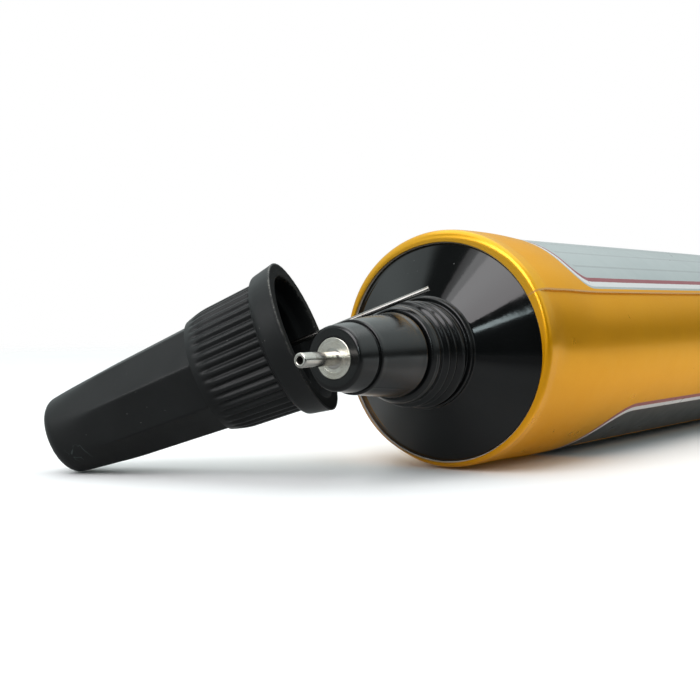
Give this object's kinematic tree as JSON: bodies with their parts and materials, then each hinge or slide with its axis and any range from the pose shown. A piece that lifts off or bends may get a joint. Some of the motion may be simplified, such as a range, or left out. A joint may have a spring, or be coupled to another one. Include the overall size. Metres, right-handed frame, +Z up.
{
  "type": "glue tube",
  "caption": "Laminate squeeze tube of glue lying on its side, with a threaded neck, a needle nozzle and its ribbed eight-sided cap, whose steel pin closes the needle, set down beside it.",
  "frame": {"origin": "middle of the part's footprint, on the table it lies on", "axes": "+Z up, +X along the tube from the needle to the tail seal"},
  "size_m": [0.181, 0.0604, 0.0288],
  "materials": {
    "laminate": "gold lacquered foil laminate, glossy",
    "shoulder_black": "glossy black moulding",
    "barrier": "plain barrier laminate",
    "nozzle_black": "semi-gloss black moulding",
    "ferrule_metal": "turned, polished",
    "needle_steel": "drawn steel tube, bright",
    "glue": "clear viscous adhesive",
    "cap_black": "fine matte black moulding",
    "pin_steel": "drawn steel wire"
  },
  "bodies": {
    "tube": {"tube_sleeve": "laminate", "shoulder": "shoulder_black", "barrier_insert": "barrier", "nozzle": "nozzle_black", "ferrule": "ferrule_metal", "needle": "needle_steel", "adhesive": "glue"},
    "pin": {"cap_pin": "pin_steel"},
    "cap": {"cap": "cap_black"}
  },
  "joints": [
    {"name": "cap_draw", "type": "slide", "parent": "tube", "child": "pin", "axis": [-0.4059, 0.9139, 0], "range_m": [0, 0.045]},
    {"name": "cap_turn", "type": "hinge", "parent": "pin", "child": "cap", "pos_m": [-0.07451, 0.0011, 0.01618], "axis": [0.3752, -0.8446, 0.3819], "continuous": true}
  ]
}
